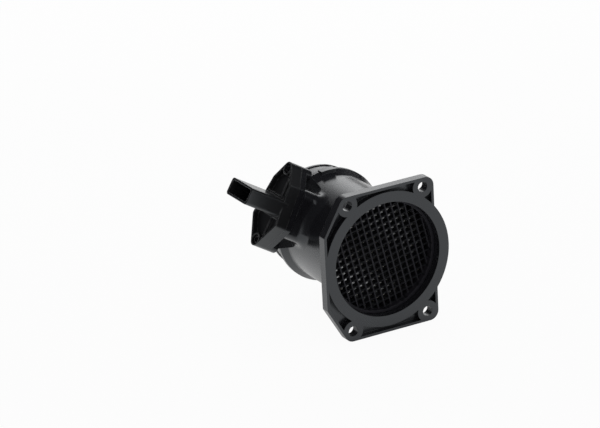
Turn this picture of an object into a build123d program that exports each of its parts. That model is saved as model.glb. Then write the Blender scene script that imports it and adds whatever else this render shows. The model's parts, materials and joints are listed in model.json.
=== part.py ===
"""Hot-film mass airflow sensor with a flanged inlet, a hose spigot and a plug-in sensor module.

Frame, in millimetres: the origin is the centre of the inlet flange's sealing face.
+Y is the direction of the air flow, from the inlet to the outlet, +X is to the right of someone
who looks into the inlet, and +Z is up.  "Station" means a place along Y.

The sensor module is drawn in a frame of its own: local X is the flow direction, local Z points
outward from the tube's axis, and local Y runs across the flow, towards the lower screw.
"""
import math
import os

from build123d import *

# ---------------------------------------------------------------- flow tube
BORE_RADIUS = 31.0
TUBE_WALL = 2.8
TUBE_LENGTH = 90.0
INLET_EDGE_RADIUS = 1.5          # rounded lip where the bore starts behind the mesh

# ---------------------------------------------------------------- inlet recess and its hub
RECESS_RADIUS = 37.0
HUB_WALL = 2.3
HUB_BEHIND_SEAT = 1.2            # solid hub behind the recess's shoulder
HUB_SLOPE_LENGTH = 5.0           # cone from the hub down to the tube

# ---------------------------------------------------------------- inlet flange
FLANGE_THICKNESS = 6.0
FLANGE_WEB = 1.8                 # floor of the pockets
RIM_WALL = 1.7
RING_WIDTH = 6.8                 # sealing ring round the recess
BOLT_SPACING_X = 53.4
BOLT_SPACING_Z = 82.4
BOLT_HOLE_DIAMETER = 6.6
CORNER_RADIUS = 6.0
RIGHT_MARGIN = 7.8               # right edge, beyond the line of the right bolts
TOP_MARGIN = 6.0
BOTTOM_MARGIN = 6.7
BOSS_LAND_RADIUS = 6.9
SIDE_EXTENSION = 17.3            # left edge, beyond the line of the left bolts
SIDE_EDGE_LENGTH = 50.0
SIDE_CORNER_RADIUS = 1.5

# ---------------------------------------------------------------- outlet collar and spigot
COLLAR_STATION = 71.0            # front edge of the hose stop
COLLAR_LENGTH = 2.4
COLLAR_HEIGHT = 3.0
COLLAR_RAMP = 5.5                # slope from the tube up to the hose stop
BEAD_WIDTH = 2.8                 # hose bead, flush with the outlet end
BEAD_HEIGHT = 0.6
SPIGOT_RELIEF = 0.4              # the hose seat is this much smaller than the tube
KEY_ANGLE = 90.0                 # locating lug on the hose stop, from +X towards +Z
KEY_SPAN = 16.0
KEY_HEIGHT = 0.8

# ---------------------------------------------------------------- straightener and mesh
GRID_PITCH = 4.42
GRID_WEB = 0.85
GRID_TURN = 13.0                 # the cells are turned in the hoop
GRID_DEPTH = 4.5
HOOP_SETBACK = 6.0               # hoop's front face, behind the sealing face
HOOP_LIP = 3.0                   # hoop in front of the cells
HOOP_WALL = 1.8
INSERT_CLEARANCE = 0.1
GRID_SHIFT = (0.4, -1.2)         # lattice, off the axis
MESH_THICKNESS = 0.6
MESH_BAR = 0.6
MESH_PITCH = 5.9
MESH_EDGE = 2.5

# ---------------------------------------------------------------- sensor module: placing
HEAD_STATION = 58.0
HEAD_ANGLE = 58.0                # from +Z towards -X
MODULE_CLEARANCE = 0.15
PAD_RADIUS = 48.0                # flat on the housing where the head seats
PAD_THICKNESS = 4.0

# ---------------------------------------------------------------- head
HEAD_THICKNESS = 8.0
HEAD_FLOOR = 4.6
HEAD_LOWER_CORNERS = (14.3, 9.7)    # half width along the flow, and place across it
HEAD_UPPER_CORNERS = (10.4, -14.5)
HEAD_CORNER_RADIUS = 3.0
HEAD_RIM = 1.3
HEAD_SHELF = 1.6                 # depth of the step in front of the cross rib
CROSS_RIB_OFFSET = 6.1           # rib ahead of the screws' line, across the head
SCREW_SPACING = 48.0
LUG_RADIUS = 4.2
LUG_BORE_RADIUS = 3.3            # sunk seat for the screw head
PEDESTAL_LENGTH = 27.0
PEDESTAL_WIDTH = 14.0
STIFFENER = 1.3

# ---------------------------------------------------------------- connector socket
SOCKET_LENGTH = 24.9
SOCKET_WIDTH = 11.1
SOCKET_HEIGHT = 25.5             # mouth, above the head's rim
SOCKET_WALL = 1.4
SOCKET_CORNER_RADIUS = 2.0
SOCKET_DEPTH = 18.5
TERMINAL_COUNT = 5
TERMINAL_PITCH = 3.4
TERMINAL_WIDTH = 1.5
TERMINAL_THICKNESS = 0.6
TERMINAL_BELOW_MOUTH = 7.5

# ---------------------------------------------------------------- collar, seal and finger
PLUG_LENGTH = 21.4
PLUG_WIDTH = 15.0
PLUG_CORNER_RADIUS = 4.0
PLUG_DEPTH = 11.0
SEAL_SECTION = 1.7
SEAL_SLACK = 0.03                # on each side of the seal, as drawn
SEAL_BELOW_HEAD = 5.0
FINGER_LENGTH = 20.4
FINGER_WIDTH = 9.4
FINGER_EDGE_RADIUS = 2.4
FINGER_TIP = 12.5                # beyond the tube's axis
FINGER_WALL = 1.6
COVER_THICKNESS = 1.2
COVER_LEDGE = 0.8
CHAMBER_DEPTH = 6.0
CHAMBER_FLOOR_RADIUS = 10.4      # distance of the dividing wall from the tube's axis
DIVIDER = 1.6
CHANNEL_HEIGHT = 6.0
OUTLET_LENGTH = 6.0

# ---------------------------------------------------------------- electronics
PLATE_THICKNESS = 1.0
PLATE_MARGIN = 0.4
BOARD_THICKNESS = 0.8
BOARD_MARGIN = 0.9
HOLDER_OVERLAP = 0.4             # board round the end of the tongue
HOLDER_WIDTH = 6.0
HOLDER_THICKNESS = 0.6
HOLDER_GRIP = 5.0                # length of the tongue on the board's side of the divider
HOLDER_REACH = 6.2               # length of the tongue in the channel
CHIP_WIDTH = 2.6
CHIP_LENGTH = 4.4
CHIP_THICKNESS = 0.4
CONTROL_CHIP_SIDE = 6.5
CONTROL_CHIP_THICKNESS = 1.2
CAPACITOR_LENGTH = 3.2
CAPACITOR_WIDTH = 1.6
CAPACITOR_HEIGHT = 1.3
CAPACITOR_SPACING = 9.0
BEAD_RADIUS = 1.2
BEAD_LENGTH = 3.6
LEAD_RADIUS = 0.25
LEAD_SPACING = 1.4
LEAD_STANDOFF = 1.6              # leads, from the finger's side
LEAD_LENGTH = 13.0
LEAD_POST = 2.4
LEAD_GRIP = 1.0

# ---------------------------------------------------------------- screws and their bosses
SCREW_SHANK_RADIUS = 1.75
SCREW_HEAD_RADIUS = 3.0
SCREW_HEAD_HEIGHT = 2.4
SCREW_LENGTH = 11.0
SCREW_CLEARANCE = 0.25
DRIVE_RADIUS = 1.3
DRIVE_PIN_RADIUS = 0.4
DRIVE_DEPTH = 1.4
DRIVE_LOBES = 6
BOSS_RADIUS = 4.2
BOSS_WALL_BELOW_SCREW = 1.6

# ---------------------------------------------------------------- neck between tube and pad
NECK_LENGTH = 26.0               # along the flow
NECK_WIDTH = 33.0
NECK_CORNER_RADIUS = 6.0
NECK_BLEND = 7.0                 # hollow fillet where the neck grows out of the tube
GUSSET = 2.0                     # web under each screw boss
GUSSET_SHIFT = 2.0               # web behind the screws' line
GUSSET_ROOT_REACH = 20.0         # where the web's outer edge meets the tube

# ---------------------------------------------------------------- worked out from the above
TUBE_RADIUS = BORE_RADIUS + TUBE_WALL
WALL_MIDDLE = BORE_RADIUS + TUBE_WALL / 2
COLLAR_END = COLLAR_STATION + COLLAR_LENGTH
GUSSET_ROOT = math.sqrt(WALL_MIDDLE ** 2 - GUSSET_ROOT_REACH ** 2)
HUB_RADIUS = RECESS_RADIUS + HUB_WALL
RING_RADIUS = RECESS_RADIUS + RING_WIDTH
HOOP_RADIUS = RECESS_RADIUS - INSERT_CLEARANCE
CELL_FRONT = HOOP_SETBACK + HOOP_LIP
MESH_STATION = CELL_FRONT + GRID_DEPTH
SEAT_STATION = MESH_STATION + MESH_THICKNESS
HUB_END = SEAT_STATION + HUB_BEHIND_SEAT
COLLAR_RADIUS = TUBE_RADIUS + COLLAR_HEIGHT
SPIGOT_RADIUS = TUBE_RADIUS - SPIGOT_RELIEF
HEAD_TOP = PAD_RADIUS + HEAD_THICKNESS
HEAD_FLOOR_TOP = PAD_RADIUS + HEAD_FLOOR
SOCKET_MOUTH = HEAD_TOP + SOCKET_HEIGHT
SOCKET_FLOOR = SOCKET_MOUTH - SOCKET_DEPTH
SEAL_GROOVE_WIDTH = SEAL_SECTION + 2 * SEAL_SLACK
SEAL_GROOVE_DEPTH = SEAL_GROOVE_WIDTH - MODULE_CLEARANCE
PLUG_BOTTOM = PAD_RADIUS - PLUG_DEPTH
SCREW_TIP = HEAD_FLOOR_TOP - SCREW_LENGTH
BOSS_BOTTOM = SCREW_TIP - BOSS_WALL_BELOW_SCREW
OPEN_SIDE = FINGER_WIDTH / 2                      # side of the finger that the covers close
COVER_SEAT = OPEN_SIDE - COVER_THICKNESS
CHAMBER_FLOOR = COVER_SEAT - CHAMBER_DEPTH
CHAMBER_HALF = FINGER_LENGTH / 2 - FINGER_WALL
CHAMBER_TOP = PLUG_BOTTOM - FINGER_WALL
CHANNEL_TOP = CHAMBER_FLOOR_RADIUS - DIVIDER
CHANNEL_BOTTOM = -FINGER_TIP + FINGER_WALL
PLATE_TOP = CHAMBER_FLOOR + PLATE_THICKNESS
BOARD_TOP = PLATE_TOP + BOARD_THICKNESS

FRONT = Plane.XZ                                  # seen from the inlet: X right, Z up
MODULE = Plane(
    origin=(0, HEAD_STATION, 0),
    x_dir=(0, 1, 0),
    z_dir=(-math.sin(math.radians(HEAD_ANGLE)), 0, math.cos(math.radians(HEAD_ANGLE))),
)


def slab(face, start, end):
    """Extrude a front-view face from one station to another."""
    return extrude(FRONT.offset(-start) * face, amount=start - end)


def block(x_range, y_range, z_range):
    """Box between two corners, in the frame it is drawn in."""
    size = [high - low for low, high in (x_range, y_range, z_range)]
    centre = [(high + low) / 2 for low, high in (x_range, y_range, z_range)]
    return Pos(*centre) * Box(*size)


def prism(face, bottom, top):
    """Extrude a face of the module's local XY plane between two heights."""
    return extrude(Pos(0, 0, bottom) * face, amount=top - bottom)


def turned(profile_points):
    """Ring turned about the flow axis from (radius, station) points."""
    profile = make_face(Polyline(*profile_points, close=True))
    return revolve(profile, Axis.Y)


# ---------------------------------------------------------------- housing
def bolt_points():
    half_x = BOLT_SPACING_X / 2
    half_z = BOLT_SPACING_Z / 2
    return [(sx * half_x, sz * half_z) for sx in (-1, 1) for sz in (-1, 1)]


def flange_outline(inset=0.0):
    """Bolt corners and the straight left edge, wrapped by one taut line."""
    discs = []
    for x, z in bolt_points():
        shift_x = RIGHT_MARGIN - CORNER_RADIUS if x > 0 else 0
        shift_z = TOP_MARGIN - CORNER_RADIUS if z > 0 else CORNER_RADIUS - BOTTOM_MARGIN
        discs.append(Pos(x + shift_x, z + shift_z) * Circle(CORNER_RADIUS - inset))
    edge_x = -BOLT_SPACING_X / 2 - SIDE_EXTENSION + SIDE_CORNER_RADIUS
    edge_z = SIDE_EDGE_LENGTH / 2 - SIDE_CORNER_RADIUS
    corner = max(SIDE_CORNER_RADIUS - inset, 0.05)
    shift = inset - (SIDE_CORNER_RADIUS - corner)
    discs += [Pos(edge_x + shift, side * edge_z) * Circle(corner) for side in (-1, 1)]
    return make_hull([edge for disc in discs for edge in disc.edges()])


def flange():
    plate = flange_outline() + Circle(RING_RADIUS)
    lands = Sketch() + [Pos(x, z) * Circle(BOSS_LAND_RADIUS) for x, z in bolt_points()]
    pockets = flange_outline(RIM_WALL) - Circle(RING_RADIUS) - lands
    body = slab(plate, 0, FLANGE_THICKNESS)
    body -= slab(pockets, 0, FLANGE_THICKNESS - FLANGE_WEB)
    holes = Sketch() + [Pos(x, z) * Circle(BOLT_HOLE_DIAMETER / 2) for x, z in bolt_points()]
    return body - slab(holes, 0, FLANGE_THICKNESS)


def barrel():
    return turned([(0, 0), (TUBE_RADIUS, 0), (TUBE_RADIUS, TUBE_LENGTH), (0, TUBE_LENGTH)])


def slope_root(crest, run):
    """Where a slope from a crest, falling to the tube's surface over a run, ends inside its wall."""
    radius, station = crest
    fall = (radius - WALL_MIDDLE) / (radius - TUBE_RADIUS)
    return WALL_MIDDLE, station + run * fall


def hub():
    """Thick ring behind the flange that holds the recess, sloping down to the tube."""
    return turned([
        (WALL_MIDDLE, 0),
        (RING_RADIUS, 0),
        (RING_RADIUS, FLANGE_THICKNESS),
        (HUB_RADIUS, FLANGE_THICKNESS),
        (HUB_RADIUS, HUB_END),
        slope_root((HUB_RADIUS, HUB_END), HUB_SLOPE_LENGTH),
    ])


def hose_stop():
    """Collar that the hose butts against, with a slope on its upstream side."""
    return turned([
        slope_root((COLLAR_RADIUS, COLLAR_STATION), -COLLAR_RAMP),
        (COLLAR_RADIUS, COLLAR_STATION),
        (COLLAR_RADIUS, COLLAR_END),
        (WALL_MIDDLE, COLLAR_END),
    ])


def hose_seat():
    """What is turned off the barrel between the collar and the bead."""
    return turned([
        (SPIGOT_RADIUS, COLLAR_END),
        (COLLAR_RADIUS, COLLAR_END),
        (COLLAR_RADIUS, TUBE_LENGTH),
        (SPIGOT_RADIUS, TUBE_LENGTH),
    ])


def hose_bead():
    start = TUBE_LENGTH - BEAD_WIDTH
    crest = SPIGOT_RADIUS + BEAD_HEIGHT
    return turned([
        (WALL_MIDDLE, start),
        (SPIGOT_RADIUS, start),
        (crest, start + BEAD_HEIGHT),
        (crest, TUBE_LENGTH - BEAD_HEIGHT),
        (SPIGOT_RADIUS, TUBE_LENGTH),
        (WALL_MIDDLE, TUBE_LENGTH),
    ])


def bore():
    """Everything the air or the insert takes out of the tube."""
    return turned([
        (0, 0),
        (RECESS_RADIUS, 0),
        (RECESS_RADIUS, SEAT_STATION),
        (BORE_RADIUS + INLET_EDGE_RADIUS, SEAT_STATION),
        (BORE_RADIUS, SEAT_STATION + INLET_EDGE_RADIUS),
        (BORE_RADIUS, TUBE_LENGTH),
        (0, TUBE_LENGTH),
    ])


def locating_key():
    """Lug on top of the hose stop that turns the hose the right way round."""
    outer = COLLAR_RADIUS + KEY_HEIGHT
    sector = make_face(Polyline(
        (0, 0),
        (outer * 2, outer * 2 * math.tan(math.radians(KEY_SPAN / 2))),
        (outer * 2, -outer * 2 * math.tan(math.radians(KEY_SPAN / 2))),
        close=True,
    ))
    face = (Rot(0, 0, KEY_ANGLE) * sector) & Circle(outer)
    face -= Circle(TUBE_RADIUS - TUBE_WALL / 2)
    return slab(face, COLLAR_STATION - COLLAR_RAMP / 2, COLLAR_END)


def head_outline(inset=0.0):
    """Long hexagon, widest towards the lower screw, shared by the head and its pad."""
    discs = [Pos(0, side * SCREW_SPACING / 2) * Circle(LUG_RADIUS - inset) for side in (-1, 1)]
    discs += [
        Pos(side * (half_width - HEAD_CORNER_RADIUS), y) * Circle(HEAD_CORNER_RADIUS - inset)
        for half_width, y in (HEAD_LOWER_CORNERS, HEAD_UPPER_CORNERS) for side in (-1, 1)
    ]
    return make_hull([edge for disc in discs for edge in disc.edges()])


def screw_points():
    return [(0, side * SCREW_SPACING / 2) for side in (-1, 1)]


def blended_neck():
    """Neck that grows out of a plain tube through a hollow fillet, up to the pad's underside."""
    plain = barrel()
    outline = RectangleRounded(NECK_LENGTH, NECK_WIDTH, NECK_CORNER_RADIUS)
    neck = MODULE * prism(outline, 0, PAD_RADIUS - PAD_THICKNESS)
    joined = plain + neck
    seam = new_edges(plain, neck, combined=joined)
    return fillet(seam, NECK_BLEND)


def boss_support(side):
    """Short boss round one screw's hole and the thin web that ties it to the tube."""
    top = PAD_RADIUS - PAD_THICKNESS
    boss_y = SCREW_SPACING / 2
    web = make_face(Polyline(
        (0, GUSSET_ROOT), (GUSSET_ROOT_REACH, GUSSET_ROOT), (boss_y + BOSS_RADIUS / 2, BOSS_BOTTOM),
        (boss_y + BOSS_RADIUS / 2, top), (0, top), close=True))
    upright = Plane(origin=(GUSSET_SHIFT + GUSSET / 2, 0, 0), x_dir=(0, 1, 0), z_dir=(1, 0, 0))
    web = extrude(upright * web, amount=-GUSSET)
    boss = Pos(0, boss_y, BOSS_BOTTOM) * Cylinder(
        BOSS_RADIUS, top - BOSS_BOTTOM, align=(Align.CENTER, Align.CENTER, Align.MIN))
    support = web + boss
    return support if side > 0 else mirror(support, about=Plane.XZ)


def module_opening():
    """Opening for the plug-in carrier and the two screws' pilot holes."""
    outline = RectangleRounded(
        PLUG_LENGTH + 2 * MODULE_CLEARANCE, PLUG_WIDTH + 2 * MODULE_CLEARANCE,
        PLUG_CORNER_RADIUS + MODULE_CLEARANCE)
    opening = prism(outline, 0, PAD_RADIUS)
    for x, y in screw_points():
        opening += prism(Pos(x, y) * Circle(SCREW_SHANK_RADIUS), SCREW_TIP, PAD_RADIUS)
    return opening


def housing():
    pad = prism(head_outline(), PAD_RADIUS - PAD_THICKNESS, PAD_RADIUS)
    body = blended_neck() - hose_seat() + hub() + hose_stop() + hose_bead() + locating_key()
    body += flange()
    body += MODULE * (pad + boss_support(1) + boss_support(-1))
    return body - bore() - MODULE * module_opening()


# ---------------------------------------------------------------- straightener and mesh
def grid_lines(pitch, reach, shift):
    """Places of a lattice's lines, with the half-pitch ones nearest the axis moved by a shift."""
    count = math.ceil(reach / pitch)
    places = [pitch * (i + 0.5) + shift for i in range(-count - 1, count + 1)]
    return [place for place in places if abs(place) < reach - pitch / 8]


def bar_grid(radius, pitch, bar, shift=(0.0, 0.0)):
    """Square lattice of straight bars inside a circle."""
    lattice = Sketch()
    for offset in grid_lines(pitch, radius, shift[0]):
        chord = 2 * math.sqrt(radius ** 2 - offset ** 2)
        lattice += Pos(offset, 0) * Rectangle(bar, chord)
    for offset in grid_lines(pitch, radius, shift[1]):
        chord = 2 * math.sqrt(radius ** 2 - offset ** 2)
        lattice += Pos(0, offset) * Rectangle(chord, bar)
    return Rot(0, 0, GRID_TURN) * lattice


def straightener_grid():
    inner = HOOP_RADIUS - HOOP_WALL
    cells = bar_grid(inner + HOOP_WALL / 2, GRID_PITCH, GRID_WEB, GRID_SHIFT)
    hoop = Circle(HOOP_RADIUS) - Circle(inner)
    return slab(hoop, HOOP_SETBACK, MESH_STATION) + slab(cells + hoop, CELL_FRONT, MESH_STATION)


def wire_mesh():
    inner = HOOP_RADIUS - MESH_EDGE
    cells = bar_grid(inner + MESH_EDGE / 2, MESH_PITCH, MESH_BAR)
    edge = Circle(HOOP_RADIUS) - Circle(inner)
    return slab(cells + edge, MESH_STATION, SEAT_STATION)


# ---------------------------------------------------------------- sensor carrier
def head():
    """Head plate with a raised rim, sunk pockets, a cross rib and the screws' sunk seats."""
    body = prism(head_outline(), PAD_RADIUS, HEAD_TOP)
    inside = head_outline(HEAD_RIM) - Rectangle(PEDESTAL_LENGTH, PEDESTAL_WIDTH)
    inside -= Sketch() + [Pos(x, y) * Circle(LUG_RADIUS) for x, y in screw_points()]
    ahead = Pos(-CROSS_RIB_OFFSET - SCREW_SPACING / 2, 0) * Rectangle(
        SCREW_SPACING, SCREW_SPACING)
    rib = Pos(-CROSS_RIB_OFFSET, 0) * Rectangle(STIFFENER, SCREW_SPACING)
    body -= prism(inside - ahead - rib, HEAD_FLOOR_TOP, HEAD_TOP)
    body -= prism((inside & ahead) - rib, HEAD_TOP - HEAD_SHELF, HEAD_TOP)
    for x, y in screw_points():
        body -= prism(Pos(x, y) * Circle(LUG_BORE_RADIUS), HEAD_FLOOR_TOP, HEAD_TOP)
        through = Pos(x, y) * Circle(SCREW_SHANK_RADIUS + SCREW_CLEARANCE)
        body -= prism(through, PAD_RADIUS, HEAD_FLOOR_TOP)
    return body


def terminal_offsets():
    return [TERMINAL_PITCH * (i - (TERMINAL_COUNT - 1) / 2) for i in range(TERMINAL_COUNT)]


def terminal(offset):
    """Straight contact blade, from inside the socket down to the circuit board."""
    bottom = CHAMBER_TOP - HOLDER_GRIP / 2
    top = SOCKET_MOUTH - TERMINAL_BELOW_MOUTH
    middle = BOARD_TOP + TERMINAL_THICKNESS / 2
    x_range = (offset - TERMINAL_WIDTH / 2, offset + TERMINAL_WIDTH / 2)
    half = TERMINAL_THICKNESS / 2
    blade = block(x_range, (middle - half, middle + half), (bottom, top))
    tip = blade.edges().filter_by(Axis.X).group_by(Axis.Z)[-1]
    return chamfer(tip, TERMINAL_THICKNESS / 3)


def socket():
    body = prism(
        RectangleRounded(SOCKET_LENGTH, SOCKET_WIDTH, SOCKET_CORNER_RADIUS),
        HEAD_FLOOR_TOP, SOCKET_MOUTH)
    inside = RectangleRounded(
        SOCKET_LENGTH - 2 * SOCKET_WALL, SOCKET_WIDTH - 2 * SOCKET_WALL,
        SOCKET_CORNER_RADIUS - SOCKET_WALL / 2)
    return body, prism(inside, SOCKET_FLOOR, SOCKET_MOUTH)


def plug():
    """Collar that fills the housing's opening, with the seal's groove."""
    outline = RectangleRounded(PLUG_LENGTH, PLUG_WIDTH, PLUG_CORNER_RADIUS)
    core = RectangleRounded(
        PLUG_LENGTH - 2 * SEAL_GROOVE_DEPTH, PLUG_WIDTH - 2 * SEAL_GROOVE_DEPTH,
        PLUG_CORNER_RADIUS - SEAL_GROOVE_DEPTH)
    groove_low = PAD_RADIUS - SEAL_BELOW_HEAD - SEAL_GROOVE_WIDTH / 2
    body = prism(outline, PLUG_BOTTOM, PAD_RADIUS)
    return body - prism(outline - core, groove_low, groove_low + SEAL_GROOVE_WIDTH)


def cover_faces():
    """Outlines (local XZ) of the two covers: electronics chamber and bypass channel."""
    reach = CHAMBER_HALF + COVER_LEDGE
    middle = CHAMBER_FLOOR_RADIUS - DIVIDER / 2
    upper = (-reach, reach), (middle, CHAMBER_TOP + COVER_LEDGE)
    lower = (-reach, reach), (CHANNEL_BOTTOM - COVER_LEDGE, middle)
    return upper, lower


def cover(x_range, z_range):
    return block(x_range, (COVER_SEAT, OPEN_SIDE), z_range)


def channel_runs():
    """Three straight runs of the bypass channel, as (x range, z range)."""
    entry = (-FINGER_LENGTH / 2, CHAMBER_HALF), (CHANNEL_TOP - CHANNEL_HEIGHT, CHANNEL_TOP)
    turn = (CHAMBER_HALF - CHANNEL_HEIGHT, CHAMBER_HALF), (CHANNEL_BOTTOM, CHANNEL_TOP)
    back = (-CHAMBER_HALF, CHAMBER_HALF), (CHANNEL_BOTTOM, CHANNEL_BOTTOM + CHANNEL_HEIGHT)
    return entry, turn, back


def finger():
    outline = RectangleRounded(FINGER_LENGTH, FINGER_WIDTH, FINGER_EDGE_RADIUS)
    body = prism(outline, -FINGER_TIP, PLUG_BOTTOM)
    for x_range, z_range in cover_faces():
        body -= cover(x_range, z_range)
    depth = (CHAMBER_FLOOR, COVER_SEAT)
    body -= block((-CHAMBER_HALF, CHAMBER_HALF), depth, (CHAMBER_FLOOR_RADIUS, CHAMBER_TOP))
    for x_range, z_range in channel_runs():
        body -= block(x_range, depth, z_range)
    outlet = (-CHAMBER_HALF, -CHAMBER_HALF + OUTLET_LENGTH)
    body -= block(outlet, (-OPEN_SIDE, CHAMBER_FLOOR), channel_runs()[2][1])
    return body


def sensor_carrier():
    shell, cavity = socket()
    pedestal = prism(Rectangle(PEDESTAL_LENGTH, PEDESTAL_WIDTH), HEAD_FLOOR_TOP, HEAD_TOP)
    body = head() + (pedestal & prism(head_outline(), PAD_RADIUS, HEAD_TOP)) + shell
    body = body + plug() + finger() + lead_post()
    body -= cavity
    for offset in terminal_offsets():
        body -= terminal(offset)
    body -= chip_holder()
    return body - air_thermistor()


def module_seal():
    """Rectangular ring of round section, lying in the collar's groove."""
    middle = SEAL_GROOVE_WIDTH / 2 - SEAL_GROOVE_DEPTH
    path = RectangleRounded(
        PLUG_LENGTH + 2 * middle, PLUG_WIDTH + 2 * middle, PLUG_CORNER_RADIUS + middle)
    wire = path.wire()
    start = Plane(origin=wire @ 0, z_dir=wire % 0)
    ring = sweep(start * Circle(SEAL_SECTION / 2), path=wire)
    return Pos(0, 0, PAD_RADIUS - SEAL_BELOW_HEAD) * ring


# ---------------------------------------------------------------- electronics in the finger
def base_plate():
    return block(
        (-CHAMBER_HALF + PLATE_MARGIN, CHAMBER_HALF - PLATE_MARGIN),
        (CHAMBER_FLOOR, PLATE_TOP),
        (CHAMBER_FLOOR_RADIUS + PLATE_MARGIN, CHAMBER_TOP - PLATE_MARGIN))


def board_z_range():
    return CHAMBER_FLOOR_RADIUS + HOLDER_GRIP - HOLDER_OVERLAP, CHAMBER_TOP - BOARD_MARGIN


def hybrid_board():
    half = CHAMBER_HALF - BOARD_MARGIN
    return block((-half, half), (PLATE_TOP, BOARD_TOP), board_z_range())


def on_board(x, z, length, width, height):
    return block((x - length / 2, x + length / 2), (BOARD_TOP, BOARD_TOP + height),
                 (z - width / 2, z + width / 2))


def control_chip():
    z = sum(board_z_range()) / 2
    return on_board(0, z, CONTROL_CHIP_SIDE, CONTROL_CHIP_SIDE, CONTROL_CHIP_THICKNESS)


def filter_capacitor(side):
    z = board_z_range()[0] + CAPACITOR_LENGTH
    return on_board(side * CAPACITOR_SPACING / 2, z, CAPACITOR_LENGTH, CAPACITOR_WIDTH,
                    CAPACITOR_HEIGHT)


def chip_holder():
    """Thin tongue that lies on the base plate and crosses the divider into the channel."""
    z_range = (CHANNEL_TOP - HOLDER_REACH, CHAMBER_FLOOR_RADIUS + HOLDER_GRIP)
    x_range = (-HOLDER_WIDTH / 2, HOLDER_WIDTH / 2)
    return block(x_range, (PLATE_TOP, PLATE_TOP + HOLDER_THICKNESS), z_range)


def sensing_chip():
    z = CHANNEL_TOP - CHANNEL_HEIGHT / 2
    top = PLATE_TOP + HOLDER_THICKNESS
    return block((-CHIP_WIDTH / 2, CHIP_WIDTH / 2), (top, top + CHIP_THICKNESS),
                 (z - CHIP_LENGTH / 2, z + CHIP_LENGTH / 2))


def lead_post():
    """Small block on the finger's closed side that holds the thermistor's leads."""
    face = -OPEN_SIDE
    half = LEAD_SPACING / 2 + LEAD_POST / 2
    return block((-half, half), (face - LEAD_STANDOFF - LEAD_POST / 2, face + FINGER_WALL / 2),
                 (CHAMBER_TOP - LEAD_POST, PLUG_BOTTOM))


def air_thermistor():
    """Glass bead on two wire leads beside the finger, out in the main air stream."""
    y = -OPEN_SIDE - LEAD_STANDOFF
    top = CHAMBER_TOP - LEAD_POST + LEAD_GRIP
    bead_z = top - LEAD_LENGTH
    body = Pos(0, y, bead_z) * Cylinder(BEAD_RADIUS, BEAD_LENGTH)
    body = fillet(body.edges(), BEAD_RADIUS * 0.8)
    for side in (-1, 1):
        body += Pos(side * LEAD_SPACING / 2, y, bead_z) * Cylinder(
            LEAD_RADIUS, LEAD_LENGTH, align=(Align.CENTER, Align.CENTER, Align.MIN))
    return body


def screw(side):
    """Pan-head screw with a six-lobe recess round a centre pin."""
    shank = prism(Circle(SCREW_SHANK_RADIUS), SCREW_TIP, HEAD_FLOOR_TOP)
    top = HEAD_FLOOR_TOP + SCREW_HEAD_HEIGHT
    cap = prism(Circle(SCREW_HEAD_RADIUS), HEAD_FLOOR_TOP, top)
    cap = fillet(cap.edges().group_by(Axis.Z)[-1], SCREW_HEAD_HEIGHT / 3)
    lobes = Circle(DRIVE_RADIUS) + [
        loc * Circle(DRIVE_RADIUS / 3) for loc in PolarLocations(DRIVE_RADIUS, DRIVE_LOBES)]
    recess = prism(lobes - Circle(DRIVE_PIN_RADIUS), top - DRIVE_DEPTH, top)
    return Pos(0, side * SCREW_SPACING / 2, 0) * (shank + cap - recess)


# ---------------------------------------------------------------- the whole sensor
def module_nodes():
    upper, lower = cover_faces()
    nodes = {
        "sensor_carrier": sensor_carrier(),
        "module_seal": module_seal(),
        "electronics_cover": cover(*upper),
        "channel_cover": cover(*lower),
        "base_plate": base_plate(),
        "hybrid_board": hybrid_board() - chip_holder(),
        "control_chip": control_chip(),
        "filter_capacitor_1": filter_capacitor(-1),
        "filter_capacitor_2": filter_capacitor(1),
        "chip_holder": chip_holder(),
        "sensing_chip": sensing_chip(),
        "air_thermistor": air_thermistor(),
        "screw_upper": screw(-1),
        "screw_lower": screw(1),
    }
    for number, offset in enumerate(terminal_offsets(), start=1):
        nodes[f"terminal_{number}"] = terminal(offset)
    return {name: MODULE * solid for name, solid in nodes.items()}


def all_nodes():
    nodes = {
        "housing": housing(),
        "straightener_grid": straightener_grid(),
        "wire_mesh": wire_mesh(),
    }
    nodes.update(module_nodes())
    return nodes


os.makedirs("parts", exist_ok=True)
for name, solid in all_nodes().items():
    export_step(solid, f"parts/{name}.step")
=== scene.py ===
# %% [markdown]
# # An airflow sensor, dressed for its picture
# The sensor is a moulded tube with a square inlet flange, a grid and a woven wire cloth in its
# mouth, and a plug-in head with a connector socket on its side. The CAD model already has
# every moulding, so Blender's work here is finishes, the woven cloth, the light and the
# camera.

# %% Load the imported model
import json
import math

import bpy
from mathutils import Matrix, Vector


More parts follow.
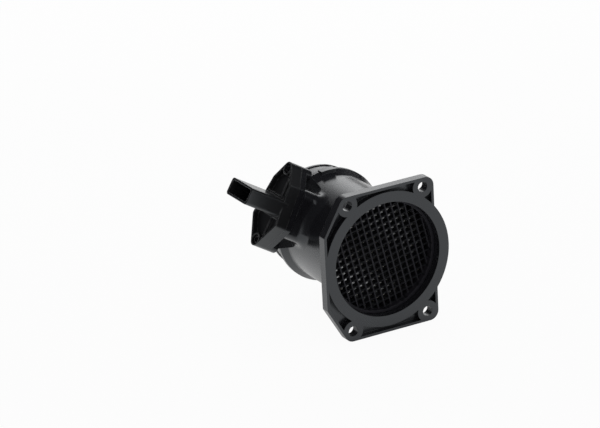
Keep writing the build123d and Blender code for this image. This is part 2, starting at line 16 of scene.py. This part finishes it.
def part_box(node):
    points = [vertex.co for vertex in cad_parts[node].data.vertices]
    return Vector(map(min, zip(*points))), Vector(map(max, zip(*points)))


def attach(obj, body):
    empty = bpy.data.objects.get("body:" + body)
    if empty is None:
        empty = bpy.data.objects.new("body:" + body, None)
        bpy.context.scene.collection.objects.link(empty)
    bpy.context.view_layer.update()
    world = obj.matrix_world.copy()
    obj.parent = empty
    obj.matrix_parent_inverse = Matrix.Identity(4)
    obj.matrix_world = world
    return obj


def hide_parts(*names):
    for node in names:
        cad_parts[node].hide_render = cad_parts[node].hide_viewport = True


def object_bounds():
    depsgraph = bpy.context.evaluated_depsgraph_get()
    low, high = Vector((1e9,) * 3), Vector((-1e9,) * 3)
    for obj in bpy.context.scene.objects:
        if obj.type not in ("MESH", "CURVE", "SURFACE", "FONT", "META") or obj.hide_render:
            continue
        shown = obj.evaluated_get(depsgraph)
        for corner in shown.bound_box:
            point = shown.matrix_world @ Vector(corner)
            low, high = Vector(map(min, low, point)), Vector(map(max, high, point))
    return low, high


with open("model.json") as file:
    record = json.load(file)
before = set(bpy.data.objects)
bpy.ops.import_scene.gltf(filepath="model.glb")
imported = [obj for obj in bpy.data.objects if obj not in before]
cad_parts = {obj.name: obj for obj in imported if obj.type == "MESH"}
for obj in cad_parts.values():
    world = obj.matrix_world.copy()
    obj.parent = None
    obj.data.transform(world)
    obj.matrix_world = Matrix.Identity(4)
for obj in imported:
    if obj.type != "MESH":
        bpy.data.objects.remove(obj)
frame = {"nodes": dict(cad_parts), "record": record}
cad_box = [list(corner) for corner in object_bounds()]
nodes = frame["nodes"]
MM = 0.001
BODY = "root"
print(len(nodes), "CAD pieces loaded, box in metres:", cad_box)

# %% [markdown]
# ## Shader maths as Python
# A finish is a graph of small nodes, and most of them are sums and products. Wiring each one
# by hand hides the idea. So one class wraps a socket and overloads the operators, and an
# expression such as `0.3 + 0.1 * grain` adds its own Math nodes. Every other node comes from
# one method, which takes the node's type, its settings and what goes into its sockets. The
# same class fills the world, because a world is a node graph too.


# %% A socket that takes part in arithmetic
class Socket:
    """One output of a shader node. Sums and products on it become Math nodes."""

    def __init__(self, finish, link):
        self.finish, self.link = finish, link

    def maths(self, operation, first, second):
        """One Math node on two values, each a socket or a number."""
        settings = {"operation": operation}
        return self.finish.node("ShaderNodeMath", settings, {0: first, 1: second})

    def __add__(self, other):
        return self.maths("ADD", self, other)

    def __radd__(self, other):
        return self.maths("ADD", other, self)

    def __sub__(self, other):
        return self.maths("SUBTRACT", self, other)

    def __rsub__(self, other):
        return self.maths("SUBTRACT", other, self)

    def __mul__(self, other):
        return self.maths("MULTIPLY", self, other)

    def __rmul__(self, other):
        return self.maths("MULTIPLY", other, self)

    def __pow__(self, other):
        return self.maths("POWER", self, other)

    def __mod__(self, other):
        return self.maths("FLOORED_MODULO", self, other)

    def __abs__(self):
        return self.maths("ABSOLUTE", self, 0.0)

    def clamp(self):
        """The value, held between 0 and 1."""
        settings = {"operation": "ADD", "use_clamp": True}
        return self.finish.node("ShaderNodeMath", settings, {0: self, 1: 0.0})


# %% A finish in the making
FINISHES = {}
BEVEL_SAMPLES = 6
EDGE_STARTS, EDGE_FULL = 0.01, 0.25    # 1 less the cosine of a rounded edge's turn


class Finish:
    """A material, or the world, whose nodes are added by name."""

    def __init__(self, name, holder=None):
        self.name = name
        self.material = holder or bpy.data.materials.new(name)
        self.material.use_nodes = True
        self.tree = self.material.node_tree
        self.tree.nodes.clear()

    def node(self, kind, settings=None, sockets=None, out=0):
        """Adds a node, sets it up, fills its sockets and returns one output."""
        made = self.tree.nodes.new(kind)
        for key, value in (settings or {}).items():
            setattr(made, key, value)
        for key, value in (sockets or {}).items():
            if isinstance(value, Socket):
                self.tree.links.new(value.link, made.inputs[key])
            else:
                made.inputs[key].default_value = value
        return Socket(self, made.outputs[out]) if made.outputs else None

    def place(self):
        """Position on the object, in metres."""
        return self.node("ShaderNodeTexCoord", out="Object")

    def stretched(self, scale):
        """Position with each axis scaled on its own, for marks that run one way."""
        return self.node("ShaderNodeMapping", None, {"Vector": self.place(), "Scale": scale})

    def noise(self, scale, detail=3.0, vector=None):
        """Cloudy noise from 0 to 1."""
        sockets = {"Vector": vector or self.place(), "Scale": scale, "Detail": detail}
        return self.node("ShaderNodeTexNoise", None, sockets)

    def steps(self, value, low, high):
        """0 below low, 1 above high, and a smooth rise between."""
        settings = {"interpolation_type": "SMOOTHSTEP"}
        sockets = {"Value": value, "From Min": low, "From Max": high}
        return self.node("ShaderNodeMapRange", settings, sockets)

    def mix(self, factor, first, second):
        """Blend of two colours."""
        return self.node("ShaderNodeMix", {"data_type": "RGBA"},
                         {"Factor": factor, 6: colour(first), 7: colour(second)}, out=2)

    def soft_normal(self, radius):
        """Surface direction with every sharp edge rounded off by a radius."""
        return self.node("ShaderNodeBevel", {"samples": BEVEL_SAMPLES}, {"Radius": radius})

    def edge_mask(self, radius):
        """1 along sharp outer and inner edges, 0 on plain faces."""
        rounded = self.soft_normal(radius)
        true_normal = self.node("ShaderNodeNewGeometry", out="True Normal")
        agree = self.node("ShaderNodeVectorMath", {"operation": "DOT_PRODUCT"},
                          {0: rounded, 1: true_normal}, out="Value")
        return self.steps(1 - agree, EDGE_STARTS, EDGE_FULL)

    def bump(self, height, strength, distance, normal=None):
        """Surface direction, tilted by the slopes of a height."""
        sockets = {"Height": height, "Strength": strength, "Distance": distance}
        if normal:
            sockets["Normal"] = normal
        return self.node("ShaderNodeBump", None, sockets)

    def close(self, **sockets):
        """Ends the graph in a Principled shader and returns the material."""
        named = {key.replace("_", " "): value for key, value in sockets.items()}
        shader = self.node("ShaderNodeBsdfPrincipled", None, named)
        self.node("ShaderNodeOutputMaterial", None, {"Surface": shader})
        FINISHES[self.name] = self.material
        print(self.name, "has", len(self.tree.nodes), "nodes")
        return self.material


def colour(value):
    """A colour with its alpha, or the socket that gives one."""
    return value if isinstance(value, Socket) else (*value, 1.0)


# %% [markdown]
# ## Glass-filled plastic
# The housing is moulded in black nylon with chopped glass. It isn't a mirror: the tool's fine
# texture and the glass near the skin blur every reflection, and flow marks make the sheen
# drift slowly over the part. Corners get rubbed against boxes and turn grey, and the same pale
# grey also stands in for the thin highlights that light draws along rounded edges, so the pale
# corners are partly wear and partly painted highlight. Painting those corners by hand would
# take an image, so a Bevel node finds them instead, and also gives each of them the small
# radius of a moulding. All four black mouldings share this recipe, with their own tone, sheen
# and corner.

# %% The plastic's finish
SKIN_GRAIN = 2600.0
SKIN_RELIEF, RELIEF_STRENGTH = 0.05 * MM, 0.06
FLOW_MARKS = 26.0
SKIN_COAT, COAT_ROUGHNESS = 0.25, 0.2
SKIN_TINT = (0.88, 0.95, 1.0, 1.0)
FIBRE_STRETCH = (1900.0, 420.0, 1900.0)
FIBRE_FROM, FIBRE_FULL = 0.66, 0.78
RUB_PATCHES = 420.0
RUB_FROM, RUB_FULL = 0.3, 0.7
# Pale grey for rubbed corners, which also paints the highlight along rounded edges.
RUBBED_AND_RIM_LIGHT_TONE = (0.15, 0.152, 0.155)
# Painted shade for the grid's cross webs.
PAINTED_SHADE_TONE = (0.010, 0.010, 0.012)


def moulded_plastic(name, tone, sheen=0.22, rub_and_rim_light=0.5, corner=0.35 * MM, coat=SKIN_COAT,
                    gloss=0.5, painted_shade_places=None):
    """Black plastic; the last argument says where the skin is painted dark, as painted shade,
    and made rougher.
    """
    finish = Finish(name)
    flow = finish.noise(FLOW_MARKS, 2.0)
    grain = finish.noise(SKIN_GRAIN, 3.0)
    flecks = finish.noise(1.0, 1.0, finish.stretched(FIBRE_STRETCH))
    fibre = finish.steps(flecks, FIBRE_FROM, FIBRE_FULL)
    rubbed = finish.steps(finish.noise(RUB_PATCHES, 4.0), RUB_FROM, RUB_FULL)
    worn_and_rim_light = finish.edge_mask(corner) * rubbed

    pale = tuple(3.0 * channel + 0.01 for channel in tone)
    lighter = (0.35 * flow + 0.25 * fibre).clamp()
    skin = finish.mix(lighter * 0.4, tone, pale)
    # Pale corners: partly wear, partly painted highlight along the rounded edges.
    skin = finish.mix(worn_and_rim_light * rub_and_rim_light, skin, RUBBED_AND_RIM_LIGHT_TONE)
    rough = sheen + 0.08 * flow + 0.06 * grain + 0.1 * worn_and_rim_light
    # Where the skin is painted dark as shade, and made rougher.
    if painted_shade_places:
        painted_shade_and_matt = painted_shade_places(finish)
        skin = finish.mix(painted_shade_and_matt, skin, PAINTED_SHADE_TONE)
        rough = rough + 0.25 * painted_shade_and_matt
    normal = finish.bump(grain + 0.4 * fibre, RELIEF_STRENGTH, SKIN_RELIEF,
                         finish.soft_normal(corner))
    return finish.close(Base_Color=skin, Roughness=rough, Normal=normal,
                        Coat_Weight=coat, Coat_Roughness=COAT_ROUGHNESS,
                        Specular_IOR_Level=gloss, Specular_Tint=SKIN_TINT)


# %% [markdown]
# ### The grid's two sorts of web
# The grid's long webs run unbroken from edge to edge. The short cross webs between them are
# painted darker and made rougher, as painted shade, so that they read fainter than the long
# webs. A second material on chosen faces would do, but the lattice is regular, so the
# remainder after division by its pitch says how far any point is from the middle of the
# nearest web. That costs a few Math nodes and no geometry.

# %% Where the cross webs are
GRID_PITCH = 4.42 * MM
GRID_TURN = math.radians(13.0)
LONG_WEB_SHIFT, CROSS_WEB_SHIFT = 0.4 * MM, -1.2 * MM
HALF_WEB = 0.43 * MM
CROSS_FADE, LONG_FADE = 1.2 * HALF_WEB, 1.1 * HALF_WEB
HOOP_INNER = 35.1 * MM
HOOP_FADE = 1.005 * HOOP_INNER
print("about", round(math.pi * (HOOP_INNER / GRID_PITCH) ** 2), "cells in the hoop")


def from_web(across, shift):
    """Distance from the middle of the nearest web, where shift is the middle of a cell."""
    return abs((across - shift) % GRID_PITCH - GRID_PITCH / 2)


def cross_webs(finish):
    """1 on the short webs, 0 on the long ones and on the hoop's rim."""
    x, z = (finish.node("ShaderNodeSeparateXYZ", None, {"Vector": finish.place()}, out=axis)
            for axis in "XZ")
    cosine, sine = math.cos(GRID_TURN), math.sin(GRID_TURN)
    from_long = from_web(x * cosine + z * sine, LONG_WEB_SHIFT)
    from_cross = from_web(z * cosine - x * sine, CROSS_WEB_SHIFT)
    from_axis = (x * x + z * z) ** 0.5
    on_cross = 1 - finish.steps(from_cross, HALF_WEB, CROSS_FADE)
    off_long = finish.steps(from_long, HALF_WEB, LONG_FADE)
    inside_hoop = 1 - finish.steps(from_axis, HOOP_INNER, HOOP_FADE)
    return on_cross * off_long * inside_hoop


# %% [markdown]
# ### Four mouldings
# Each moulding could have a material of its own, but four sets of numbers for one recipe tell
# them apart well enough. The housing is the smoothest. The carrier stands out furthest, so
# its wide corners are rubbed most, and their pale edges are also the strongest painted
# highlight. The grid has no coat and little gloss, which keeps the walls of its cells dark,
# and its cross webs get painted shade. The covers close the finger inside the tube and have
# fine corners.

# %% The four mouldings
HOUSING_TONE = (0.010, 0.010, 0.012)
CARRIER_TONE = (0.012, 0.012, 0.013)
GRID_TONE = (0.016, 0.015, 0.019)
COVER_TONE = (0.011, 0.011, 0.012)
moulded_plastic("housing_black", HOUSING_TONE, sheen=0.19)
# The carrier's corners are painted palest: wear and painted edge highlight.
moulded_plastic("carrier_black", CARRIER_TONE, sheen=0.25, rub_and_rim_light=1.0, corner=0.8 * MM)
# The grid's cross webs are painted dark as shade.
moulded_plastic("grid_black", GRID_TONE, sheen=0.4, corner=0.42 * MM, coat=0.0, gloss=0.15,
                painted_shade_places=cross_webs)
moulded_plastic("cover_black", COVER_TONE, sheen=0.36, corner=0.2 * MM)

# %% [markdown]
# ## Metals
# Rolled sheet and drawn wire carry fine lines in the direction they were worked. Noise that
# is squeezed across the lines and pulled out along them gives both the streaks of roughness
# and the tiny grooves. The cloth's wires run two ways and the screws' heads are round, so
# their noise is the same all round. A picture of scratches would do for one piece, but noise
# fits all of them at any size.

# %% A worked metal
ALONG_MODULE = (400.0, 5000.0, 900.0)
ALL_ROUND = (2500.0, 2500.0, 2500.0)
METAL_PATCHES = 600.0
LINE_DEPTH = 0.02 * MM


def worked_metal(name, tone, lines, sheen=0.3, cloud=0.25, groove=0.1):
    """Bare or plated metal with fine lines; lines holds the noise's scale along each axis."""
    finish = Finish(name)
    streak = finish.noise(1.0, 3.0, finish.stretched(lines))
    patch = finish.noise(METAL_PATCHES, 3.0)
    dull = tuple(0.55 * channel for channel in tone)
    return finish.close(
        Base_Color=finish.mix(cloud * patch + 0.15 * streak, tone, dull),
        Metallic=1.0,
        Roughness=sheen + 0.16 * streak + 0.1 * patch,
        Normal=finish.bump(streak, groove, LINE_DEPTH))


mesh_steel = worked_metal("mesh_steel", (0.40, 0.37, 0.29), ALL_ROUND, sheen=0.18)
worked_metal("screw_steel", (0.20, 0.20, 0.21), ALL_ROUND, sheen=0.34)
worked_metal("plate_aluminium", (0.80, 0.81, 0.82), ALONG_MODULE)
worked_metal("holder_steel", (0.58, 0.58, 0.58), ALONG_MODULE, sheen=0.25)
# The tin is given a dark tone, painted shade for the deep socket the terminals sit in.
worked_metal("terminal_tin", (0.24, 0.23, 0.21), ALONG_MODULE, sheen=0.46)

# %% [markdown]
# ## Small inner parts
# The circuit is a white ceramic with printed silver tracks. A Brick texture gives neat
# right-angled lines at once, which is all that tracks need. The other inner parts get their
# own grain and sheen, because the model can be opened and looked into.

# %% Ceramic board with printed tracks
TRACK_SCALE, TRACK_WIDTH = 520.0, 0.05
TRACK_RUN, TRACK_SPACING = 1.1, 0.45
CERAMIC_GRAIN = 3000.0
PRINT_HEIGHT = 0.03 * MM


def printed_board(name, ceramic, silver):
    """Fired ceramic; the mortar of a Brick texture is its silver print."""
    finish = Finish(name)
    sockets = {"Vector": finish.place(), "Scale": TRACK_SCALE, "Mortar Size": TRACK_WIDTH,
               "Brick Width": TRACK_RUN, "Row Height": TRACK_SPACING}
    track = finish.node("ShaderNodeTexBrick", None, sockets, out="Fac")
    grain = finish.noise(CERAMIC_GRAIN, 2.0)
    return finish.close(Base_Color=finish.mix(track, ceramic, silver),
                        Roughness=0.62 - 0.2 * track + 0.08 * grain,
                        Normal=finish.bump(grain + track, 0.1, PRINT_HEIGHT))


# %% Plain moulded or fired pieces
SMALL_GRAIN, SMALL_PATCHES = 2400.0, 300.0
SMALL_RELIEF, SMALL_CORNER = 0.03 * MM, 0.1 * MM


def small_piece(name, tone, sheen, coat=0.0):
    """Plastic, rubber, silicon or glass: a grain, soft patches and a tiny corner."""
    finish = Finish(name)
    grain = finish.noise(SMALL_GRAIN, 4.0)
    patch = finish.noise(SMALL_PATCHES, 2.0)
    paler = tuple(1.35 * channel + 0.01 for channel in tone)
    return finish.close(Base_Color=finish.mix(0.6 * patch + 0.3 * grain, tone, paler),
                        Roughness=sheen + 0.1 * grain, Coat_Weight=coat,
                        Normal=finish.bump(grain, 0.15, SMALL_RELIEF,
                                           finish.soft_normal(SMALL_CORNER)))


printed_board("board_ceramic", (0.84, 0.83, 0.78), (0.45, 0.44, 0.42))
small_piece("chip_black", (0.02, 0.02, 0.02), 0.55)
small_piece("capacitor_tan", (0.42, 0.30, 0.17), 0.4)
small_piece("seal_rubber", (0.03, 0.07, 0.04), 0.5)
small_piece("silicon", (0.10, 0.11, 0.17), 0.08, coat=0.3)
small_piece("bead_glass", (0.42, 0.14, 0.05), 0.1, coat=0.5)
print(len(FINISHES), "finishes ready")

# %% [markdown]
# ## Dressing the CAD pieces
# Each CAD piece already knows which material slot it belongs to, so one loop hands out the
# finishes. The meshes themselves stay untouched.

# %% Hand out the finishes
for subpart in frame["record"]["subparts"]:
    piece = nodes[subpart["node"]]
    if not piece.material_slots:
        piece.data.materials.append(None)
    for material_slot in piece.material_slots:
        material_slot.material = FINISHES[subpart["material_slot"]]

# %% [markdown]
# ## The woven wire cloth
# Behind the plastic grid lies a disc of plain-woven steel wire, which evens out the flow.
# Each wire goes over one neighbour and under the next, and the wires across it do the
# opposite. One swept tube per wire, with its height from a cosine, gives a true weave. The
# cloth is cut to a circle, so each wire is as long as its chord.

# %% The path of one wire
WIRE_RADIUS = 0.11 * MM
CLOTH_PITCH = 1.27 * MM
cloth_low, cloth_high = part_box("wire_mesh")
CLOTH_RADIUS = (cloth_high.x - cloth_low.x) / 2
CRIMP = (cloth_high.y - cloth_low.y) / 2 - WIRE_RADIUS
print("cloth radius", round(CLOTH_RADIUS / MM, 2), "mm, crimp", round(CRIMP / MM, 2), "mm")


def wire_path(index, along_first):
    """Points of one crimped wire: two to each crossing, over and under in turn."""
    offset = index * CLOTH_PITCH
    half_chord = math.sqrt(CLOTH_RADIUS ** 2 - offset ** 2)
    reach = int(2 * half_chord / CLOTH_PITCH)
    side = 1 if along_first else -1
    points = []
    for half_step in range(-reach, reach + 1):
        run = half_step * CLOTH_PITCH / 2
        over = math.cos(math.pi * (half_step / 2 + index)) * side
        flat = (run, offset) if along_first else (offset, run)
        points.append(Vector((*flat, CRIMP * over)))
    return points


# %% A tube along a path
def tube_along(points, radius, sides, vertices, faces):
    """Adds a closed tube round a path that lies almost flat."""
    first = len(vertices)
    for number, point in enumerate(points):
        ahead = points[min(number + 1, len(points) - 1)]
        behind = points[max(number - 1, 0)]
        run = (ahead - behind).normalized()
        across = run.cross(Vector((0, 0, 1))).normalized()
        upright = across.cross(run)
        for step in range(sides):
            angle = math.tau * step / sides
            vertices.append(point + radius * (math.cos(angle) * across
                                              + math.sin(angle) * upright))
    for ring in range(len(points) - 1):
        for step in range(sides):
            beside = (step + 1) % sides
            low, high = first + ring * sides, first + (ring + 1) * sides
            faces.append((low + step, low + beside, high + beside, high + step))
    faces.append(tuple(first + step for step in reversed(range(sides))))
    last = first + (len(points) - 1) * sides
    faces.append(tuple(last + step for step in range(sides)))


# %% A new piece on the sensor
def new_piece(name, vertices, faces, material):
    """A mesh object that rides on the sensor and has one finish."""
    mesh = bpy.data.meshes.new(name)
    mesh.from_pydata([tuple(v) for v in vertices], [], faces)
    mesh.validate()
    mesh.shade_smooth()
    mesh.materials.append(material)
    piece = bpy.data.objects.new(name, mesh)
    bpy.context.scene.collection.objects.link(piece)
    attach(piece, BODY)
    print(name, "has", len(mesh.polygons), "faces")
    return piece


# %% Weave the cloth and stand it up in the tube
WIRE_SIDES = 5
CLOTH_TURN = math.radians(13.0)
CLOTH_MIDDLE = (cloth_low.y + cloth_high.y) / 2
cloth_vertices, cloth_faces = [], []
wires_each_side = int((CLOTH_RADIUS - WIRE_RADIUS) / CLOTH_PITCH)
for wire in range(-wires_each_side, wires_each_side + 1):
    for along_first in (True, False):
        tube_along(wire_path(wire, along_first), WIRE_RADIUS, WIRE_SIDES,
                   cloth_vertices, cloth_faces)
stand_up = (Matrix.Translation((0, CLOTH_MIDDLE, 0)) @ Matrix.Rotation(math.pi / 2, 4, "X")
            @ Matrix.Rotation(CLOTH_TURN, 4, "Z"))
cloth = new_piece("woven_wire_cloth", [stand_up @ v for v in cloth_vertices], cloth_faces,
                  mesh_steel)
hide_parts("wire_mesh")

# %% [markdown]
# ## Light
# Black plastic shows its shape by reflections, not by its own colour. One big soft panel
# behind the tube is there to be mirrored, and runs along the tube's top as a pale band. Two
# more, overhead and in front, only light the part, and are hidden from its reflections, which
# would otherwise turn the faces that look up or forward grey.

# %% Soft panels
AIM = Vector((-5.0, 40.0, 0.0)) * MM


def soft_panel(name, direction, distance, width, height, radiance, mirrored=True):
    """A lamp that faces the sensor. Its power, which Blender wants in watts, is worked out
    from its brightness, so that a bigger panel looks the same and lights more."""
    lamp = bpy.data.lights.new(name, "AREA")
    lamp.shape = "RECTANGLE"
    lamp.size, lamp.size_y = width, height
    lamp.energy = math.pi * width * height * radiance
    panel = bpy.data.objects.new(name, lamp)
    toward = Vector(direction).normalized()
    panel.location = AIM + toward * distance
    panel.rotation_euler = toward.to_track_quat("Z", "Y").to_euler()
    panel.visible_glossy = mirrored
    bpy.context.scene.collection.objects.link(panel)
    print(name, "gives", round(lamp.energy, 2), "W")


# name, direction from the sensor, distance, width, height, brightness
soft_panel("panel_behind", (0.47, 0.8, 0.38), 0.9, 0.9, 0.42, 1.85)
soft_panel("panel_above", (-0.1, 0.1, 1.0), 0.9, 0.7, 0.7, 0.7, mirrored=False)
soft_panel("panel_front", (-0.2, -0.9, 0.35), 1.2, 0.7, 0.5, 0.8, mirrored=False)

# %% [markdown]
# ## Floor and surroundings
# A product picture on white keeps only a faint shadow. The floor is a sheet of paper that
# glows white for the camera and for reflections, and is plain paper for all other light, so
# it doesn't flood the part from below. A little of the paper stays in what the camera sees,
# which keeps the shadow. Reflections of the glow fade close to the part, where a real floor
# would be in its shade.

# %% Tell the rays apart
def seen_rays(finish):
    """Two values: 1 for rays from the camera, and 1 for rays off gloss or through glass."""
    camera, gloss, glass = (finish.node("ShaderNodeLightPath", out=kind) for kind in (
        "Is Camera Ray", "Is Glossy Ray", "Is Transmission Ray"))
    return camera, gloss + glass


# %% Glowing paper
WHITE = (1.0, 1.0, 1.0, 1.0)
PAPER = (0.8, 0.8, 0.8, 1.0)
GLOW_SHARE = 0.95
CONTACT_REACH = 40 * MM
CONTACT_SAMPLES = 4


def white_floor(name):
    """Paper that glows for the camera, and in reflections except close to the part."""
    finish = Finish(name)
    camera, mirrored = seen_rays(finish)
    open_sky = finish.node("ShaderNodeAmbientOcclusion", {"samples": CONTACT_SAMPLES},
                           {"Distance": CONTACT_REACH}, out="AO")
    paper = finish.node("ShaderNodeBsdfDiffuse", None, {"Color": PAPER})
    glow = finish.node("ShaderNodeEmission", None, {"Color": WHITE, "Strength": 1.0})
    share = (GLOW_SHARE * camera + open_sky * mirrored).clamp()
    shown = finish.node("ShaderNodeMixShader", None, {"Fac": share, 1: paper, 2: glow})
    finish.node("ShaderNodeOutputMaterial", None, {"Surface": shown})
    return finish.material


# %% Lay the floor under the sensor
FLOOR_REACH = 6.0
FLOOR_GAP = 0.02 * MM
SQUARE = ((-1, -1), (1, -1), (1, 1), (-1, 1))
floor_mesh = bpy.data.meshes.new("floor")
floor_height = cad_box[0][2] - FLOOR_GAP
floor_mesh.from_pydata([(x * FLOOR_REACH, y * FLOOR_REACH, floor_height) for x, y in SQUARE],
                       [], [(0, 1, 2, 3)])
floor_mesh.materials.append(white_floor("white_floor"))
floor = bpy.data.objects.new("floor", floor_mesh)
bpy.context.scene.collection.objects.link(floor)
print("floor at", round(floor_height, 5), "m")

# %% [markdown]
# ### A dark card and lid
# In a white room black plastic would come out grey all over. In a studio, black cards stand
# round it, with gaps where a highlight is wanted. This is one curved card, open only at the
# front right, with a lid over it. It is seen by glossy rays alone, so it shapes the
# reflections and neither shades the part nor shows itself.

# %% Bend the card and lay its lid
CARD_RADIUS = 2.5
CARD_FROM, CARD_TO = math.radians(-40), math.radians(275)
CARD_TOP = 2.6
CARD_STEPS = 24
card_vertices = []
for step in range(CARD_STEPS + 1):
    turn = CARD_FROM + (CARD_TO - CARD_FROM) * step / CARD_STEPS
    rim = (CARD_RADIUS * math.cos(turn), CARD_RADIUS * math.sin(turn))
    card_vertices += [(*rim, floor_height), (*rim, CARD_TOP)]
card_faces = [(2 * step, 2 * step + 2, 2 * step + 3, 2 * step + 1)
              for step in range(CARD_STEPS)]
lid = [(x * CARD_RADIUS, y * CARD_RADIUS, CARD_TOP) for x, y in SQUARE]
card_faces.append(tuple(len(card_vertices) + corner for corner in range(4)))
card_mesh = bpy.data.meshes.new("dark_card")
card_mesh.from_pydata(card_vertices + lid, [], card_faces)
print("card of", len(card_mesh.polygons), "faces")

# %% Darken the card and hide it from all but glossy rays
CARD_TONE, CARD_LEVEL = (0.5, 0.5, 0.55, 1.0), 0.08
card_finish = Finish("dark_card")
dusk = card_finish.node("ShaderNodeEmission", None,
                        {"Color": CARD_TONE, "Strength": CARD_LEVEL})
card_finish.node("ShaderNodeOutputMaterial", None, {"Surface": dusk})
card_mesh.materials.append(card_finish.material)
card = bpy.data.objects.new("dark_card", card_mesh)
bpy.context.scene.collection.objects.link(card)
card.visible_camera = card.visible_diffuse = card.visible_shadow = False
card.visible_transmission = False
print("card is seen in reflections:", card.visible_glossy)

# %% [markdown]
# ### The world
# The room is white to the camera and in reflections, and a plain dim light for all else. A
# bigger white dome would do the same with more geometry, so the world's own colour does it.

# %% World: white to the eye, dimmer as light
WORLD_LIGHT = 0.45
world = bpy.data.worlds.new("studio")
bpy.context.scene.world = world
sky = Finish("studio", world)
eye, mirror = seen_rays(sky)
dim = sky.node("ShaderNodeBackground", None, {"Color": WHITE, "Strength": WORLD_LIGHT})
bright = sky.node("ShaderNodeBackground", None, {"Color": WHITE, "Strength": 1.0})
either = (eye + mirror).clamp()
both = sky.node("ShaderNodeMixShader", None, {"Fac": either, 1: dim, 2: bright})
sky.node("ShaderNodeOutputWorld", None, {"Surface": both})
print("world has", len(sky.tree.nodes), "nodes")

# %% [markdown]
# ## Camera
# A long lens from a couple of metres away keeps the flange's square almost free of
# perspective. The three directions are the picture's right, its top and the way back to the
# camera.

# %% Long lens
FOCAL_LENGTH = 245.5
SENSOR_WIDTH = 36.0
RIGHT = (0.86566, -0.49821, -0.04919)
UP = (0.22396, 0.29750, 0.92808)
BACK = (-0.44774, -0.81442, 0.36912)
STAND = Vector((-1161.5, -2004.12, 952.57)) * MM
NEAREST, FARTHEST = 0.05, 50.0

lens = bpy.data.cameras.new("camera")
lens.lens, lens.sensor_width = FOCAL_LENGTH, SENSOR_WIDTH
lens.clip_start, lens.clip_end = NEAREST, FARTHEST
camera = bpy.data.objects.new("camera", lens)
facing = Matrix((RIGHT, UP, BACK)).transposed().to_4x4()
camera.matrix_world = Matrix.Translation(STAND) @ facing
bpy.context.scene.collection.objects.link(camera)
bpy.context.scene.camera = camera
bpy.context.scene.view_settings.view_transform = "Standard"
print("camera", round((STAND - AIM).length, 3), "m from the sensor")
